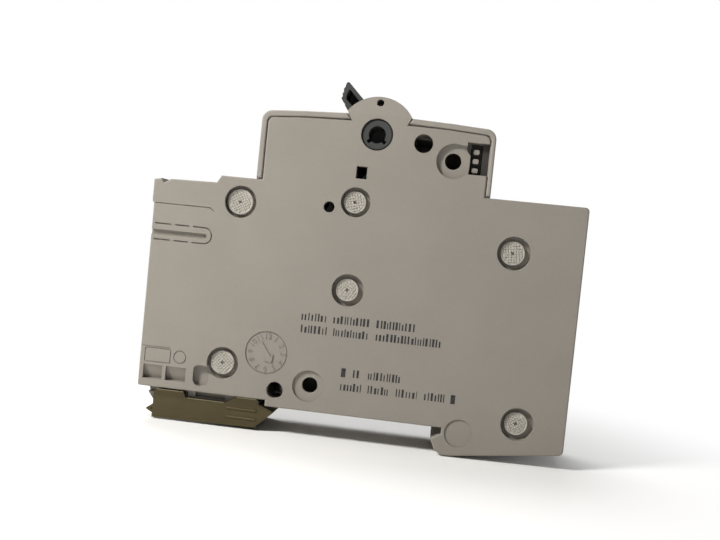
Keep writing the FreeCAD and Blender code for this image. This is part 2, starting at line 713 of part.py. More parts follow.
def trip_lever():
    hub = cyl_y(TRIP_X, TRIP_Z, 2.2, -1.5, 5.2)
    lower = prism([
        (TRIP_X - 1.6, TRIP_Z), (1.8, 27.5, 0.4), (3.55, 27.5, 0.4), (TRIP_X + 1.4, TRIP_Z),
    ], -1.5, 1.5)
    long_arm = prism([
        (TRIP_X, TRIP_Z + 1.3), (TRIP_HOOK[0] - 0.9, TRIP_HOOK[1] + 1.0, 0.4),
        (TRIP_HOOK[0] - 0.6, TRIP_HOOK[1] - 1.0, 0.4), (TRIP_X, TRIP_Z - 1.3),
    ], 3.2, 5.2)
    peg = cyl_y(TRIP_HOOK[0], TRIP_HOOK[1], 0.7, -1.5, 4.0)
    body = fuse([hub, lower, long_arm, peg])
    return cut(body, [cyl_y(TRIP_X, TRIP_Z, TRIP_PIN_R + FIT, -6, 6)])


def trip_lever_pin():
    return cyl_y(TRIP_X, TRIP_Z, TRIP_PIN_R, -7.5, 7.5)


def trip_spring():
    """A torsion spring around the trip lever's pin, in two solids like the toggle spring."""
    mean_r, wire_r, outer_end = 1.6, 0.22, -4.4
    wound = flat_coil(vec(TRIP_X, outer_end, TRIP_Z), mean_r, wire_r, 2.4, 4)
    leg = cyl_z(TRIP_X + mean_r, outer_end, wire_r, TRIP_Z + 0.1, TRIP_Z + 5.0)
    return Part.makeCompound([wound, leg])


# ---------------------------------------------------------------- thermal release
def bimetal_strip():
    return box(-20.95, -20.05, -2.4, 2.4, 11.2, 31.0)


def bimetal_bracket():
    foot = box(-22.1, -12.5, -2.9, 2.9, 9.6, 10.8)
    tab = box(-22.1, -20.95, -2.9, 2.9, 9.6, 17.0)
    return fuse([foot, tab])


def calibration_screw():
    head = cyl_z(-14.7, 0, 1.4, 2.0, 3.6)
    slot = box(-17, -12, -0.25, 0.25, 1.9, 2.6)
    thread = cyl_z(-14.7, 0, 1.0, 3.6, 9.55)
    return cut(fuse([head, thread]), [slot])


def flexible_braid():
    heel = on_arm(-10.0, -0.5 - 0.62)
    path = Part.BSplineCurve()
    path.interpolate([
        vec(-19.4, -1.2, 26.0), vec(-18.0, -3.2, 21.0), vec(-15.5, -4.2, 17.3),
        vec(-11.0, -3.9, 14.6), vec(-6.5, -1.6, 14.8), vec(heel[0] + 0.4, 0.0, heel[1] - 2.2),
    ])
    wire = Part.Wire(path.toShape())
    start = path.value(path.FirstParameter)
    heading = path.tangent(path.FirstParameter)[0]
    profile = Part.Wire(Part.makeCircle(0.6, start, heading))
    return wire.makePipeShell([profile], True, True)


# ---------------------------------------------------------------- magnetic release
def coil_bobbin():
    tube = cyl_x(0, COIL_Z, 3.2, 7.0, 21.0)
    flanges = [cyl_x(0, COIL_Z, 5.3, 7.0, 8.0), cyl_x(0, COIL_Z, 5.3, 20.0, 21.0)]
    return cut(fuse([tube] + flanges), [cyl_x(0, COIL_Z, PLUNGER_R + 0.1, 6, 22)])


def solenoid_coil():
    wound = coil(vec(8.9, 0, COIL_Z), vec(1, 0, 0), 4.1, 0.72, 10.2, 6)
    first_lead = rod(vec(8.9, 0, COIL_Z - 4.1), vec(8.9, 0, 22.3), 0.6)
    last_lead = rod(vec(19.1, 0, COIL_Z - 4.1), vec(19.1, 0, 24.05), 0.6)
    return fuse([wound, first_lead, last_lead])


def solenoid_yoke():
    left = box(5.6, 6.8, -5.0, 5.0, 23.9, 36.1)
    top = box(5.6, 22.4, -5.0, 5.0, 34.9, 36.1)
    right = box(21.2, 22.4, -5.0, 5.0, 23.9, 36.1)
    holes = [cyl_x(0, COIL_Z, HAMMER_R + 0.08, 5, 7), cyl_x(0, COIL_Z, PLUNGER_R + 0.08, 21, 23)]
    return cut(fuse([left, top, right]), holes)


def fixed_core():
    hammer_bore = cyl_x(0, COIL_Z, HAMMER_R + 0.08, 6, 13)
    spring_seat = cyl_x(0, COIL_Z, 2.0, 10.8, 13)
    return cut(cyl_x(0, COIL_Z, PLUNGER_R, 6.85, 12.5), [hammer_bore, spring_seat])


def plunger():
    return cyl_x(0, COIL_Z, PLUNGER_R, 15.65, 23.6)


def hammer_pin():
    return cyl_x(0, COIL_Z, HAMMER_R, 4.95, 15.65)


def plunger_spring():
    return coil(vec(11.1, 0, COIL_Z), vec(1, 0, 0), 1.6, 0.25, 4.2, 3)


# ---------------------------------------------------------------- arc chamber
def arc_chute_plates():
    """Nine splitter plates with a V mouth towards the contacts."""
    plates = []
    mouth = Part.Face(Part.makePolygon([
        vec(8, -3.2, 0), vec(16, 0, 0), vec(8, 3.2, 0), vec(8, -3.2, 0),
    ])).extrude(vec(0, 0, 30))
    for i in range(9):
        z = 5.2 + 1.5 * i
        plates.append(box(9.2, 27.0, -5.6, 5.6, z, z + 0.8).cut(mouth))
    return Part.makeCompound(plates)


def arc_chute_side_walls():
    walls = []
    for sign in (-1, 1):
        low = min(sign * 5.65, sign * 6.45)
        walls.append(box(8.9, 27.3, low, low + 0.8, 4.5, 19.2))
    return Part.makeCompound(walls)


def upper_arc_runner():
    z = closed_point(2.4, 0.5 + 2 * TIP_THICK + 0.06 + 1.0)[1] - 1.0
    return strip([(10.6, z), (26.0, z), (27.0, z - 1.2)], 0.7, -3.0, 3.0)


def lower_arc_runner():
    return strip([(-11.0, 8.8), (-3.0, 8.2), (5.5, 3.7), (27.0, 3.7)], 0.8, -3.4, 3.4)


# ---------------------------------------------------------------- terminals
def terminal_cage(terminal):
    x, top, side = terminal
    cage = box(x - 3.8, x + 3.8, -CAGE_HALF, CAGE_HALF, top - CAGE_UNDER, top - CAGE_TOP)
    room = box(x - 4, x + 4, -CAGE_INNER_HALF, CAGE_INNER_HALF, top - CAGE_FLOOR, top - CAGE_ROOF)
    thread = cyl_z(x, 0, SCREW_THREAD_R + FIT, top - CAGE_ROOF - 1, top - CAGE_TOP + 1)
    return cut(cage, [room, thread])


def terminal_screw(terminal):
    x, top, side = terminal
    head = cyl_z(x, 0, SCREW_HEAD_R, top - HEAD_UNDER, top - HEAD_TOP)
    thread = cyl_z(x, 0, SCREW_THREAD_R, top - THREAD_END, top - HEAD_UNDER)
    recess = [
        box(x - 3.5, x + 3.5, -0.5, 0.5, top - HEAD_TOP - 1.1, top),
        box(x - 0.45, x + 0.45, -1.9, 1.9, top - HEAD_TOP - 1.5, top),
        cyl_z(x, 0, 1.0, top - HEAD_TOP - 1.5, top),
    ]
    return cut(fuse([head, thread]), recess)


def load_conductor_bar():
    top = LATCH_SHOULDER_Z - BAR_TOP
    upper = strip([(-38.9, top), (-28.1, top), (-28.1, 13.4)], BAR_THICK, -BAR_HALF, BAR_HALF)
    foot = box(-29.5, -22.1, -BAR_HALF, BAR_HALF, 12.1, 12.1 + BAR_THICK)
    return fuse([upper, foot])


def line_conductor_bar():
    top = HOOK_SHOULDER_Z - BAR_TOP
    flat = box(29.6, 38.6, -BAR_HALF, BAR_HALF, top - BAR_THICK, top)
    drop = box(29.6, 30.8, -BAR_HALF, BAR_HALF, 22.3, top)
    foot = box(18.2, 30.8, -BAR_HALF, BAR_HALF, 22.3, 23.45)
    return fuse([flat, drop, foot])


# ---------------------------------------------------------------- rail latch
def rail_clip():
    outer = CLIP_INNER_HALF + CLIP_SHEET
    side = [
        (-39.0, -5.1), (-39.0, 0.1, 0.3), (-38.6, 0.6, 0.3), (-33.0, 0.6, 0.3), (-32.6, -0.5, 0.4),
        (-24.6, -0.5, 0.4), (-22.4, 0.8, 0.3), (-18.2, 0.8, 0.3), (-18.0, -0.3), (-18.0, -4.75),
        (-20.5, -4.8),
    ]
    channel = prism(side, -outer, outer)
    hollow = prism([(-40, -4.3), (-40, 3), (-17, 3), (-17, -4.0)], -CLIP_INNER_HALF, CLIP_INNER_HALF)
    channel = channel.cut(hollow)
    nose = prism([
        (-18.3, -0.15), (-17.8, -0.15, 0.2), (-14.75, -1.3, 0.12), (-16.5, -3.05), (-17.9, -4.3),
        (-18.3, -4.72),
    ], -outer, outer)
    nose_room = prism([
        (-19.0, -0.9), (-17.7, -0.9), (-15.9, -1.55), (-17.0, -2.7), (-18.3, -3.9), (-19.0, -3.9),
    ], -CLIP_INNER_HALF, CLIP_INNER_HALF)
    nose = nose.cut(nose_room)
    tail = prism([
        (-38.9, -2.3), (-41.3, -4.05, 0.2), (-39.2, -5.05), (-38.9, -5.05), (-38.9, -4.3), (-40.2, -4.0),
        (-38.9, -2.95),
    ], -4.5, 4.5)
    flanges = []
    for sign in (-1, 1):
        low = min(sign * 5.05, sign * 6.3)
        flanges.append(box(-38.4, -33.2, low, low + 1.25, 0.0, 0.6))
    lug = box(-25.1, -24.3, -1.4, 1.4, -4.4, -0.7)
    ribs = []
    for z in (-1.5, -3.2):
        for sign in (-1, 1):
            ribs.append(cyl_x(sign * outer, z, 0.28, -24.1, -18.2))
    return fuse([channel, nose, tail, lug] + flanges + ribs)


def clip_spring():
    return coil(vec(-33.3, 0, -2.1), vec(1, 0, 0), 1.2, 0.2, 7.9, 8)


# ---------------------------------------------------------------- export
NODES = {
    "base_shell": base_shell(),
    "cover_shell": cover_shell(),
    "lower_fascia": fascia(-1),
    "upper_fascia": fascia(1),
    "casing_rivets": casing_rivets(),
    "toggle_lever": toggle_lever(),
    "toggle_spring": toggle_spring(),
    "link_wire": link_wire(),
    "contact_carrier": contact_carrier(),
    "carrier_pin": carrier_pin(),
    "moving_contact_arm": moving_contact_arm(),
    "moving_contact_tip": moving_contact_tip(),
    "contact_spring": contact_spring(),
    "trip_lever": trip_lever(),
    "trip_lever_pin": trip_lever_pin(),
    "trip_spring": trip_spring(),
    "bimetal_strip": bimetal_strip(),
    "bimetal_bracket": bimetal_bracket(),
    "calibration_screw": calibration_screw(),
    "flexible_braid": flexible_braid(),
    "solenoid_coil": solenoid_coil(),
    "coil_bobbin": coil_bobbin(),
    "solenoid_yoke": solenoid_yoke(),
    "fixed_core": fixed_core(),
    "plunger": plunger(),
    "hammer_pin": hammer_pin(),
    "plunger_spring": plunger_spring(),
    "fixed_contact_arm": fixed_contact_arm(),
    "fixed_contact_tip": fixed_contact_tip(),
    "arc_chute_plates": arc_chute_plates(),
    "arc_chute_side_walls": arc_chute_side_walls(),
    "upper_arc_runner": upper_arc_runner(),
    "lower_arc_runner": lower_arc_runner(),
    "load_terminal_cage": terminal_cage(LOAD_TERMINAL),
    "load_terminal_screw": terminal_screw(LOAD_TERMINAL),
    "load_conductor_bar": load_conductor_bar(),
    "line_terminal_cage": terminal_cage(LINE_TERMINAL),
    "line_terminal_screw": terminal_screw(LINE_TERMINAL),
    "line_conductor_bar": line_conductor_bar(),
    "rail_clip": rail_clip(),
    "clip_spring": clip_spring(),
}

os.makedirs("parts", exist_ok=True)
for name, shape in NODES.items():
    shape.exportStep("parts/" + name + ".step")
    print(name, len(shape.Solids), shape.isValid(), round(shape.Volume, 2))
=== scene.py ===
import json
import math
import random

import bmesh
import bpy
from mathutils import Matrix, Vector


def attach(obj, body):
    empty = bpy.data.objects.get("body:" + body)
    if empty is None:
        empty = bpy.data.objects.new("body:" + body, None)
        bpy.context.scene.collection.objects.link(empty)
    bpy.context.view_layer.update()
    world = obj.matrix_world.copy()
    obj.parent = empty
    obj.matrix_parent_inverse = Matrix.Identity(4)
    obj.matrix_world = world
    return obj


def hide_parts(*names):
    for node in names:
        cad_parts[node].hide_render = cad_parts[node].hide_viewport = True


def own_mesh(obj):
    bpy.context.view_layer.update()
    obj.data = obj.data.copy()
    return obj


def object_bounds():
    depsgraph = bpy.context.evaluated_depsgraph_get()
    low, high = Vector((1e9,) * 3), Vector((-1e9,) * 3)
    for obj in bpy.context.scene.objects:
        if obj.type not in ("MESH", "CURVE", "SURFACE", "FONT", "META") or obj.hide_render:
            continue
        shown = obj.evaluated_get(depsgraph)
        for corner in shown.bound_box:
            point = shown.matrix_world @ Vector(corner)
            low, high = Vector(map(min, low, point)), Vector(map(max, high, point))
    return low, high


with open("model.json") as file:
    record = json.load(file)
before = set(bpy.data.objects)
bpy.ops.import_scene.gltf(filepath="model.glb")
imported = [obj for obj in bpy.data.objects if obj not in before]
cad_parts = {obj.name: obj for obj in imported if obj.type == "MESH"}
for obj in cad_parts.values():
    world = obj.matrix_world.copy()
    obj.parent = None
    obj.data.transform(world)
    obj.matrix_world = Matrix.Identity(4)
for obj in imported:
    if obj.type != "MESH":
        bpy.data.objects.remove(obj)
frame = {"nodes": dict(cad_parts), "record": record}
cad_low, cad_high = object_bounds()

# Looks of a one-pole modular circuit breaker. Sizes are in millimetres and are turned
# into metres by MM, except for the lamps and the floor, which are in metres. X runs along
# the height, Y across the width, Z away from the rail; the cover face that the camera
# sees is at Y = -8.75.

MM = 0.001
FACE_Y = -8.75

# centre x, centre z and radius of each stake head, and how far its top is from mid-width
STAKE_HEADS = [
    (-25.15, 38.80, 2.50),
    (-2.95, 40.85, 2.15),
    (-2.75, 24.00, 2.20),
    (27.70, 34.20, 2.30),
    (-25.60, 7.40, 2.35),
    (31.65, 2.35, 2.20),
]
STAKE_TOP = 7.9
KNURL_PITCH = 0.5
KNURL_HEIGHT = 0.12
KNURL_MARGIN = 0.32
KNURL_HOLLOW_R = 0.42
STAKE_RIM_HEIGHT = 0.1
STAKE_RIM_WIDTH = 0.3

# how far an added piece reaches into the surface that it sits on
SUNK = 0.02

DIAL = (-17.0, 10.35)
DIAL_FLOOR_Y = FACE_Y + 0.12
DIAL_NUMBER_R = 3.15
DIAL_NUMBER_SIZE = 1.5
DIAL_NUMBER_DEPTH = 0.09
POINTER_HALF = 0.45
POINTER_HEAD_HALF = 1.1
POINTER_HEAD_LENGTH = 1.15
POINTER_HEIGHT = 0.22

INK_FRONT_Y = FACE_Y - 0.012
INK_BACK_Y = FACE_Y + 0.005
INK_HEIGHT = 1.5
INK_BLOCK_SIZE = 0.85

SEAL_HOLE_Z = 60.1
# ends, radii and steps of the pale half ring of painted light in the sealing hole
SEAL_PAINTED_LIGHT_ENDS_Y = (-5.3, -4.5)
SEAL_PAINTED_LIGHT_RADII = (0.66, 0.40)
SEAL_PAINTED_LIGHT_STEPS = 12

# start x, end x and height z of each lip of the rail clip
CLIP_LIPS = [(-38.5, -33.1, 0.6), (-32.2, -24.8, -0.5), (-22.3, -18.4, 0.8)]
# place and depth of the painted highlight strips along the clip's lips
CLIP_EDGE_Y = 7.08
CLIP_EDGE_DEPTH = 0.5

FLOOR_HALF_M = 2.0
FLOOR_GAP = 0.2

CAMERA_PLACE = (15.78, -175.96, 32.84)
CAMERA_YAW_PITCH_ROLL = (-5.598, -1.608, 5.883)
SENSOR_WIDTH = 36.0
# focal length as a share of the sensor's width
FOCAL_SHARE = 1.22625


# ---------------------------------------------------------------- materials
def start_material(name):
    material = bpy.data.materials.new(name)
    material.use_nodes = True
    tree = material.node_tree
    return material, tree, tree.nodes["Principled BSDF"]


def noise_node(tree, scale, detail, stretch=(1, 1, 1)):
    """Noise in the row frame; scale is in cycles per metre, stretch multiplies it per axis."""
    position = tree.nodes.new("ShaderNodeTexCoord")
    mapping = tree.nodes.new("ShaderNodeMapping")
    mapping.inputs["Scale"].default_value = stretch
    noise = tree.nodes.new("ShaderNodeTexNoise")
    noise.inputs["Scale"].default_value = scale
    noise.inputs["Detail"].default_value = detail
    tree.links.new(position.outputs["Object"], mapping.inputs["Vector"])
    tree.links.new(mapping.outputs["Vector"], noise.inputs["Vector"])
    return noise


def ramp_node(tree, source, low, high, first, last):
    """Colour ramp from first to last as source goes from low to high."""
    ramp = tree.nodes.new("ShaderNodeValToRGB")
    ramp.color_ramp.elements[0].position = low
    ramp.color_ramp.elements[1].position = high
    ramp.color_ramp.elements[0].color = first
    ramp.color_ramp.elements[1].color = last
    tree.links.new(source.outputs["Fac"], ramp.inputs["Fac"])
    return ramp


def shaded(colour, factor):
    return tuple(c * factor for c in colour) + (1.0,)


def grey(value):
    return (value, value, value, 1.0)


def colour_range(tree, source, colour, variation):
    """Ramp from a darker to a lighter version of one colour."""
    darker = shaded(colour, 1 - variation)
    lighter = shaded(colour, 1 + variation)
    return ramp_node(tree, source, 0.3, 0.7, darker, lighter)


def roughness_range(tree, source, shader, roughness, spread):
    """Drive the roughness from source, between roughness - spread and roughness + spread."""
    ramp = ramp_node(tree, source, 0.2, 0.8, grey(roughness - spread), grey(roughness + spread))
    tree.links.new(ramp.outputs["Color"], shader.inputs["Roughness"])


def mixed(tree, blend, amount, first, second):
    """Mix two colour outputs."""
    mix = tree.nodes.new("ShaderNodeMix")
    mix.data_type = "RGBA"
    mix.blend_type = blend
    mix.inputs["Factor"].default_value = amount
    tree.links.new(first, mix.inputs["A"])
    tree.links.new(second, mix.inputs["B"])
    return mix.outputs["Result"]


def bumped(tree, shader, source, strength, depth, edge_radius):
    """Bump from source over normals that are rounded at edges."""
    bevel = tree.nodes.new("ShaderNodeBevel")
    bevel.samples = 4
    bevel.inputs["Radius"].default_value = edge_radius
    bump = tree.nodes.new("ShaderNodeBump")
    bump.inputs["Strength"].default_value = strength
    bump.inputs["Distance"].default_value = depth
    tree.links.new(source.outputs["Fac"], bump.inputs["Height"])
    tree.links.new(bevel.outputs["Normal"], bump.inputs["Normal"])
    tree.links.new(bump.outputs["Normal"], shader.inputs["Normal"])


def moulded(name, colour, roughness, variation=0.05, grain=0.25, edge_radius=0.12):
    """Moulded plastic: cloudy patches, fine spark-eroded grain and softened edges."""
    material, tree, shader = start_material(name)
    clouds = noise_node(tree, 90, 4)
    specks = noise_node(tree, 2600, 3)
    clouds_ramp = colour_range(tree, clouds, colour, variation)
    specks_ramp = ramp_node(tree, specks, 0.3, 0.7, grey(0.93), grey(1))
    base = mixed(tree, "MULTIPLY", 0.6, clouds_ramp.outputs["Color"], specks_ramp.outputs["Color"])
    tree.links.new(base, shader.inputs["Base Color"])
    roughness_range(tree, clouds, shader, roughness, 0.05)
    shader.inputs["Specular IOR Level"].default_value = 0.35
    bumped(tree, shader, specks, grain, 0.03 * MM, edge_radius * MM)
    return material


def metal(name, colour, roughness, metallic=1.0, stretch=(1, 1, 1), variation=0.15, scale=700):
    """Plated or drawn metal with marks that run along the less stretched axis."""
    material, tree, shader = start_material(name)
    streaks = noise_node(tree, scale, 5, stretch)
    patches = noise_node(tree, 160, 4)
    streak_ramp = colour_range(tree, streaks, colour, variation)
    patch_ramp = ramp_node(tree, patches, 0.35, 0.65, grey(0.82), grey(1))
    base = mixed(tree, "MULTIPLY", 0.7, streak_ramp.outputs["Color"], patch_ramp.outputs["Color"])
    tree.links.new(base, shader.inputs["Base Color"])
    roughness_range(tree, streaks, shader, roughness, 0.1)
    shader.inputs["Metallic"].default_value = metallic
    bumped(tree, shader, streaks, 0.12, 0.02 * MM, 0.08 * MM)
    return material


def printed_ink():
    """Slightly uneven black ink."""
    material, tree, shader = start_material("printed_ink")
    spread = noise_node(tree, 1500, 2)
    ramp = ramp_node(tree, spread, 0.35, 0.75, (0.006, 0.006, 0.008, 1), (0.035, 0.033, 0.032, 1))
    tree.links.new(ramp.outputs["Color"], shader.inputs["Base Color"])
    shader.inputs["Roughness"].default_value = 0.6
    return material


def floor_material():
    """Pale matt floor that fades to plain white away from the object, as seen by the camera."""
    material, tree, shader = start_material("pale_floor")
    shader.inputs["Base Color"].default_value = (0.93, 0.93, 0.92, 1)
    shader.inputs["Roughness"].default_value = 0.9
    shader.inputs["Specular IOR Level"].default_value = 0.1
    geometry = tree.nodes.new("ShaderNodeNewGeometry")
    distance = tree.nodes.new("ShaderNodeVectorMath")
    distance.operation = "LENGTH"
    fade = tree.nodes.new("ShaderNodeMapRange")
    fade.interpolation_type = "SMOOTHSTEP"
    fade.inputs["From Min"].default_value = 0.02
    fade.inputs["From Max"].default_value = 0.10
    rays = tree.nodes.new("ShaderNodeLightPath")
    share = tree.nodes.new("ShaderNodeMath")
    share.operation = "MULTIPLY"
    glow = tree.nodes.new("ShaderNodeEmission")
    blend = tree.nodes.new("ShaderNodeMixShader")
    output = tree.nodes["Material Output"]
    tree.links.new(geometry.outputs["Position"], distance.inputs[0])
    tree.links.new(distance.outputs["Value"], fade.inputs["Value"])
    tree.links.new(fade.outputs["Result"], share.inputs[0])
    tree.links.new(rays.outputs["Is Camera Ray"], share.inputs[1])
    tree.links.new(share.outputs["Value"], blend.inputs["Fac"])
    tree.links.new(shader.outputs["BSDF"], blend.inputs[1])
    tree.links.new(glow.outputs["Emission"], blend.inputs[2])
    tree.links.new(blend.outputs["Shader"], output.inputs["Surface"])
    return material


CASING = moulded("casing_plastic", (0.248, 0.227, 0.197), 0.55, variation=0.035)
STAKE = moulded("stake_plastic", (0.40, 0.376, 0.333), 0.5, edge_radius=0.05)
INK = printed_ink()
# near-black colour of the sheets in the indicator window: painted shade
SHADE = moulded("window_shade", (0.035, 0.031, 0.027), 0.7)
# pale colour of the half ring in the sealing hole: painted light, not a real liner
PAINTED_SEAL_LIGHT = moulded("seal_liner", (0.42, 0.40, 0.36), 0.6)
CLIP = metal("clip_steel", (0.092, 0.075, 0.037), 0.42, 0.75, (1, 1, 2), 0.08, 260)
# bright colour of the strips along the clip's lips: painted highlight on the sheet edges, not wear
CLIP_HIGHLIGHT = metal("painted_clip_edge_highlight", (0.34, 0.30, 0.20), 0.35, 0.8, (1, 1, 2), 0.10, 400)
WIRE = metal("spring_steel", (0.50, 0.50, 0.50), 0.3, stretch=(4, 1, 1))
LOOKS = {
    "casing_plastic": CASING,
    "fascia_plastic": moulded(
        "fascia_plastic", (0.270, 0.249, 0.220), 0.45, variation=0.04, grain=0.15,
    ),
    "toggle_plastic": moulded(
        "toggle_plastic", (0.045, 0.048, 0.046), 0.42, variation=0.12, grain=0.2,
    ),
    "stake_plastic": STAKE,
    "clip_steel": CLIP,
    "plated_steel": metal("plated_steel", (0.60, 0.60, 0.57), 0.34, stretch=(1, 5, 1)),
    "spring_steel": WIRE,
    "copper": metal("copper", (0.72, 0.38, 0.22), 0.32, stretch=(1, 6, 1)),
    "contact_silver": metal("contact_silver", (0.80, 0.79, 0.76), 0.28, variation=0.08),
    "bimetal": metal("bimetal", (0.58, 0.53, 0.46), 0.36, stretch=(1, 1, 8)),
    "mechanism_plastic": moulded("mechanism_plastic", (0.74, 0.70, 0.62), 0.5, variation=0.08),
    "fibre_board": moulded("fibre_board", (0.50, 0.17, 0.11), 0.7, variation=0.25, grain=0.6),
}


def paint_nodes():
    """Give every CAD node the look of its material slot."""
    for part in frame["record"]["subparts"]:
        node = frame["nodes"][part["node"]]
        node.data.materials.clear()
        node.data.materials.append(LOOKS[part["material_slot"]])


# ---------------------------------------------------------------- mesh helpers
def finish_piece(name, mesh, material, body):
    piece = bpy.data.objects.new(name, mesh)
    bpy.context.scene.collection.objects.link(piece)
    mesh.materials.append(material)
    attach(piece, body)
    return piece


def mesh_from(bm, name, smooth=False):
    bmesh.ops.recalc_face_normals(bm, faces=bm.faces)
    mesh = bpy.data.meshes.new(name)
    bm.to_mesh(mesh)
    bm.free()
    for polygon in mesh.polygons:
        polygon.use_smooth = smooth
    return mesh


def add_block(bm, low, high):
    """A box between two corners, in millimetres."""
    size = [(b - a) * MM for a, b in zip(low, high)]
    centre = [(a + b) / 2 * MM for a, b in zip(low, high)]
    place = Matrix.Translation(centre) @ Matrix.Diagonal(size + [1.0])
    bmesh.ops.create_cube(bm, size=1.0, matrix=place)


def add_ring(bm, x, z, radius, y_low, y_high, width, steps=48):
    """A raised ring with a sloping outer side, facing away from mid-width."""
    loops = []
    profile = ((radius, y_low), (radius - 0.3 * width, y_high), (radius - 0.8 * width, y_high),
               (radius - width, y_low))
    for r, y in profile:
        loop = []
        for i in range(steps):
            a = 2 * math.pi * i / steps
            spot = ((x + r * math.cos(a)) * MM, y * MM, (z + r * math.sin(a)) * MM)
            loop.append(bm.verts.new(spot))
        loops.append(loop)
    for inner, outer in zip(loops, loops[1:]):
        for i in range(steps):
            j = (i + 1) % steps
            bm.faces.new((inner[i], inner[j], outer[j], outer[i]))


def tube(name, points, radius, sides=10):
    """A mesh tube along points given in millimetres."""
    bm = bmesh.new()
    loops = []
    side = Vector((0, 1, 0))
    for i, here in enumerate(points):
        ahead = points[min(i + 1, len(points) - 1)] - points[max(i - 1, 0)]
        ahead.normalize()
        side = side - ahead * side.dot(ahead)
        side.normalize()
        up = ahead.cross(side)
        loop = []
        for k in range(sides):
            a = 2 * math.pi * k / sides
            spot = here + (side * math.cos(a) + up * math.sin(a)) * radius
            loop.append(bm.verts.new(spot * MM))
        loops.append(loop)
    for first, second in zip(loops, loops[1:]):
        for k in range(sides):
            j = (k + 1) % sides
            bm.faces.new((first[k], first[j], second[j], second[k]))
    bm.faces.new(loops[0][::-1])
    bm.faces.new(loops[-1])
    return mesh_from(bm, name, smooth=True)


def helix_points(start_x, length, y, z, radius, turns, per_turn=28):
    """Points on a helix about an axis along X, its turns slightly wider apart at both ends."""
    points = []
    count = int(turns * per_turn)
    for i in range(count + 1):
        t = i / count
        eased = t + 0.25 / turns * math.sin(2 * math.pi * t)
        a = 2 * math.pi * turns * t
        x = start_x + length * min(max(eased, 0), 1)
        points.append(Vector((x, y + radius * math.cos(a), z + radius * math.sin(a))))
    return points


# ---------------------------------------------------------------- detail on the casing
def knurled_head(index, sign, x, z, radius, turn):
    """Waffle of small blunt pyramids, a plain rim and a pressed centre on one stake head."""
    bm = bmesh.new()
    base = sign * (STAKE_TOP - SUNK)
    top = sign * (STAKE_TOP + KNURL_HEIGHT)
    field = radius - KNURL_MARGIN
    count = int(field / KNURL_PITCH) + 1
    half = KNURL_PITCH * 0.5
    blunt = KNURL_PITCH * 0.33
    ca, sa = math.cos(turn), math.sin(turn)
    for i in range(-count, count + 1):
        for k in range(-count, count + 1):
            u, v = i * KNURL_PITCH, k * KNURL_PITCH
            if math.hypot(u, v) > field - half * 0.6 or math.hypot(u, v) < KNURL_HOLLOW_R:
                continue
            loops = []
            for reach, y in ((half, base), (blunt, top)):
                loop = []
                for du, dv in ((-1, -1), (1, -1), (1, 1), (-1, 1)):
                    pu, pv = u + du * reach, v + dv * reach
                    spot = (x + pu * ca - pv * sa, y, z + pu * sa + pv * ca)
                    loop.append(bm.verts.new(Vector(spot) * MM))
                loops.append(loop)
            for n in range(4):
                m = (n + 1) % 4
                bm.faces.new((loops[0][n], loops[0][m], loops[1][m], loops[1][n]))
            bm.faces.new(loops[1])
    add_ring(bm, x, z, radius - SUNK, base, sign * (STAKE_TOP + STAKE_RIM_HEIGHT), STAKE_RIM_WIDTH)
    side = "cover" if sign < 0 else "base"
    name = f"stake_knurl_{side}_{index}"
    finish_piece(name, mesh_from(bm, name), STAKE, "casing")


def dial_numbers():
    """Raised plain numbers around the mould's date dial."""
    for hour in range(1, 13):
        angle = 2 * math.pi * hour / 12
        curve = bpy.data.curves.new(f"dial_number_{hour}", "FONT")
        curve.body = str(hour)
        curve.size = DIAL_NUMBER_SIZE * MM
        curve.extrude = DIAL_NUMBER_DEPTH * MM
        curve.align_x = "CENTER"
        curve.align_y = "CENTER"
        curve.materials.append(CASING)
        number = bpy.data.objects.new(f"dial_number_{hour}", curve)
        bpy.context.scene.collection.objects.link(number)
        x = DIAL[0] + DIAL_NUMBER_R * math.sin(angle)
        z = DIAL[1] + DIAL_NUMBER_R * math.cos(angle)
        spot = Vector((x, DIAL_FLOOR_Y, z))
        turn = Matrix.Rotation(angle, 4, "Y") @ Matrix.Rotation(math.pi / 2, 4, "X")
        number.matrix_world = Matrix.Translation(spot * MM) @ turn
        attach(number, "casing")


def dial_pointer():
    """Arrow embossed across the dial from upper left to lower right."""
    tail = Vector((DIAL[0] - 1.35, DIAL[1] + 1.75))
    tip = Vector((DIAL[0] + 1.15, DIAL[1] - 1.85))
    along = (tip - tail).normalized()
    side = Vector((-along.y, along.x))
    neck = tip - along * POINTER_HEAD_LENGTH
    outline = [
        tail + side * POINTER_HALF,
        neck + side * POINTER_HALF,
        neck + side * POINTER_HEAD_HALF,
        tip,
        neck - side * POINTER_HEAD_HALF,
        neck - side * POINTER_HALF,
        tail - side * POINTER_HALF,
    ]
    bm = bmesh.new()
    low = [bm.verts.new(Vector((p.x, DIAL_FLOOR_Y + SUNK, p.y)) * MM) for p in outline]
    high = [bm.verts.new(Vector((p.x, DIAL_FLOOR_Y - POINTER_HEIGHT, p.y)) * MM) for p in outline]
    bm.faces.new(low)
    bm.faces.new(high)
    for i in range(len(outline)):
        k = (i + 1) % len(outline)
        bm.faces.new((low[i], low[k], high[k], high[i]))
    finish_piece("dial_pointer", mesh_from(bm, "dial_pointer"), CASING, "casing")


def ink_ticks(name, groups, z, seed):
    """A row of plain upright ticks; groups holds the start x and end x of each group."""
    draw = random.Random(seed)
    bm = bmesh.new()
    low_z = z - INK_HEIGHT / 2
    for start, end in groups:
        x = start
        while x < end - 0.1:
            width = draw.choice((0.22, 0.3, 0.42))
            tall = draw.choice((1.0, 1.0, 0.78))
            high_z = z + INK_HEIGHT * (tall - 0.5)
            add_block(bm, (x, INK_FRONT_Y, low_z), (min(x + width, end), INK_BACK_Y, high_z))
            x += width + draw.choice((0.24, 0.32, 0.4))
    finish_piece(name, mesh_from(bm, name), INK, "casing")


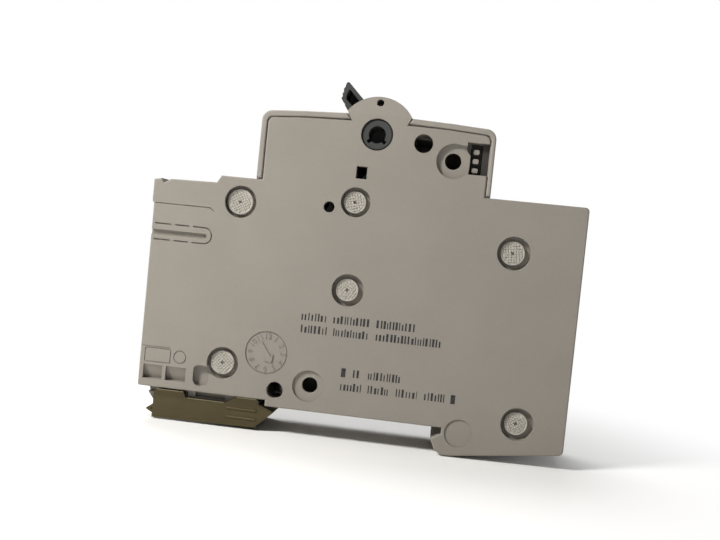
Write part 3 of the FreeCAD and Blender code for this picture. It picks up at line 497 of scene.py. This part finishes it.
def ink_blocks():
    """Two solid blocks next to the lower rows."""
    bm = bmesh.new()
    for x, z in ((-2.2, 8.25), (19.0, 5.6)):
        low = (x, INK_FRONT_Y, z - INK_BLOCK_SIZE)
        high = (x + INK_BLOCK_SIZE, INK_BACK_Y, z + INK_BLOCK_SIZE)
        add_block(bm, low, high)
    finish_piece("ink_blocks", mesh_from(bm, "ink_blocks"), INK, "casing")


def window_shade():
    """Dark sheets on the floor of the indicator window and on the ledge beside it: painted shade in
    the pocket and on its ledge.
    """
    bm = bmesh.new()
    add_block(bm, (17.95, -5.95, 48.2), (20.2, -5.80, 54.0))
    add_block(bm, (20.2, -7.28, 48.0), (21.45, -7.12, 54.2))
    finish_piece("window_shade", mesh_from(bm, "window_shade"), SHADE, "casing")


def seal_liner():
    """Pale half ring in the lower half of the sealing hole in the toggle: painted light where the
    hole looks bright.
    """
    bm = bmesh.new()
    loops = []
    for y in SEAL_PAINTED_LIGHT_ENDS_Y:
        for radius in SEAL_PAINTED_LIGHT_RADII:
            loop = []
            for i in range(SEAL_PAINTED_LIGHT_STEPS + 1):
                a = math.pi * (1.0 + i / SEAL_PAINTED_LIGHT_STEPS)
                spot = Vector((radius * math.cos(a), y, SEAL_HOLE_Z + radius * math.sin(a)))
                loop.append(bm.verts.new(spot * MM))
            loops.append(loop)
    outer_front, inner_front, outer_back, inner_back = loops
    around = (outer_front, inner_front, inner_back, outer_back)
    for first, second in zip(around, around[1:] + around[:1]):
        for i in range(SEAL_PAINTED_LIGHT_STEPS):
            bm.faces.new((first[i], first[i + 1], second[i + 1], second[i]))
    for end in (0, SEAL_PAINTED_LIGHT_STEPS):
        bm.faces.new([loop[end] for loop in around])
    finish_piece("seal_liner", mesh_from(bm, "seal_liner"), PAINTED_SEAL_LIGHT, "toggle")


def clip_edges():
    """Thin bright strips along the clip's lips, on both sides: painted highlights on the lit sheet
    edges.
    """
    bm = bmesh.new()
    for sign in (-1, 1):
        outer = sign * CLIP_EDGE_Y
        inner = outer - sign * CLIP_EDGE_DEPTH
        y_low, y_high = min(outer, inner), max(outer, inner)
        for x_low, x_high, z in CLIP_LIPS:
            add_block(bm, (x_low, y_low, z - 0.10), (x_high, y_high, z + 0.03))
    finish_piece("clip_edges", mesh_from(bm, "clip_edges"), CLIP_HIGHLIGHT, "latch")


def casing_details():
    draw = random.Random(7)
    for sign in (-1, 1):
        for index, (x, z, radius) in enumerate(STAKE_HEADS, 1):
            knurled_head(index, sign, x, z, radius, draw.uniform(0, math.pi / 2))
    dial_numbers()
    dial_pointer()
    window_shade()
    seal_liner()
    clip_edges()
    ink_ticks("ink_row_1", [(-10.9, -6.0), (-4.7, 2.3), (3.6, 11.2)], 18.2, seed=11)
    ink_ticks("ink_row_2", [(-10.8, -5.7), (-4.5, 2.4), (3.7, 16.3)], 15.8, seed=12)
    ink_ticks("ink_row_3", [(0.1, 1.7), (3.0, 9.3)], 8.25, seed=13)
    ink_ticks("ink_row_4", [(-2.1, 1.9), (3.2, 7.2), (8.6, 12.6), (14.0, 18.2)], 5.6, seed=14)
    ink_blocks()


# ---------------------------------------------------------------- springs
def wound_springs():
    """Three compression springs, in place of the CAD ones."""
    springs = [
        ("clip_spring", -33.3, 7.9, -2.1, 1.2, 0.2, 8, "latch_slide", 0.5),
        ("contact_spring", -18.6, 4.6, 36.0, 1.5, 0.3, 4, "carrier_swing", 0.42),
        ("plunger_spring", 11.1, 4.2, 29.0, 1.6, 0.25, 3, "plunger_slide", 0.3),
    ]
    for node, x, length, z, mean_r, wire_r, turns, joint, keep in springs:
        name = node + "_wound"
        mesh = tube(name, helix_points(x, length, 0, z, mean_r, turns), wire_r)
        piece = finish_piece(name, mesh, WIRE, "casing")
        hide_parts(node)
        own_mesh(piece)


# ---------------------------------------------------------------- stage
def light(name, place, aim, size, power, colour=(1, 1, 1)):
    """A round area lamp; place, aim and size are in metres."""
    data = bpy.data.lights.new(name, "AREA")
    data.shape = "DISK"
    data.size = size
    data.energy = power
    data.color = colour
    lamp = bpy.data.objects.new(name, data)
    bpy.context.scene.collection.objects.link(lamp)
    lamp.location = place
    lamp.rotation_mode = "QUATERNION"
    lamp.rotation_quaternion = (Vector(aim) - Vector(place)).to_track_quat("-Z", "Y")


def white_world():
    """White as the camera sees it, and dimmer as a light."""
    world = bpy.data.worlds.new("studio")
    bpy.context.scene.world = world
    world.use_nodes = True
    tree = world.node_tree
    rays = tree.nodes.new("ShaderNodeLightPath")
    strength = tree.nodes.new("ShaderNodeMapRange")
    strength.inputs["To Min"].default_value = 0.10
    strength.inputs["To Max"].default_value = 1.0
    tree.links.new(rays.outputs["Is Camera Ray"], strength.inputs["Value"])
    tree.links.new(strength.outputs["Result"], tree.nodes["Background"].inputs["Strength"])
    tree.nodes["Background"].inputs["Color"].default_value = (1, 1, 1, 1)


def floor():
    height = cad_low.z - FLOOR_GAP * MM
    mesh = bpy.data.meshes.new("floor")
    sides = ((-1, -1), (1, -1), (1, 1), (-1, 1))
    corners = [(u * FLOOR_HALF_M, v * FLOOR_HALF_M, height) for u, v in sides]
    mesh.from_pydata(corners, [], [(0, 1, 2, 3)])
    mesh.materials.append(floor_material())
    ground = bpy.data.objects.new("floor", mesh)
    bpy.context.scene.collection.objects.link(ground)


def camera():
    """Camera looking along +Y, a little left and down, rolled to make the object lean clockwise."""
    yaw, pitch, roll = (math.radians(a) for a in CAMERA_YAW_PITCH_ROLL)
    forward = Vector((
        math.sin(yaw) * math.cos(pitch), math.cos(yaw) * math.cos(pitch), math.sin(pitch),
    ))
    level_right = Vector((math.cos(yaw), -math.sin(yaw), 0))
    level_up = level_right.cross(forward)
    right = level_right * math.cos(roll) + level_up * math.sin(roll)
    up = level_up * math.cos(roll) - level_right * math.sin(roll)
    data = bpy.data.cameras.new("camera")
    data.sensor_width = SENSOR_WIDTH
    data.lens = SENSOR_WIDTH * FOCAL_SHARE
    data.clip_start = 0.01
    data.clip_end = 20
    eye = bpy.data.objects.new("camera", data)
    bpy.context.scene.collection.objects.link(eye)
    turn = Matrix((right, up, -forward)).transposed().to_4x4()
    eye.matrix_world = Matrix.Translation(Vector(CAMERA_PLACE) * MM) @ turn
    bpy.context.scene.camera = eye


paint_nodes()
casing_details()
wound_springs()
floor()
white_world()
light(
    "key", place=(-0.19, -0.17, 0.215), aim=(0.0, 0.0, 0.03), size=0.07, power=1.22,
    colour=(1.0, 0.98, 0.95),
)
light(
    "fill", place=(0.10, -0.50, 0.15), aim=(0.0, 0.0, 0.03), size=0.30, power=0.08,
    colour=(0.95, 0.98, 1.0),
)
light("top", place=(-0.10, 0.25, 0.50), aim=(0.0, 0.05, 0.0), size=0.40, power=2.2)
camera()
bpy.context.scene.view_settings.view_transform = "Standard"
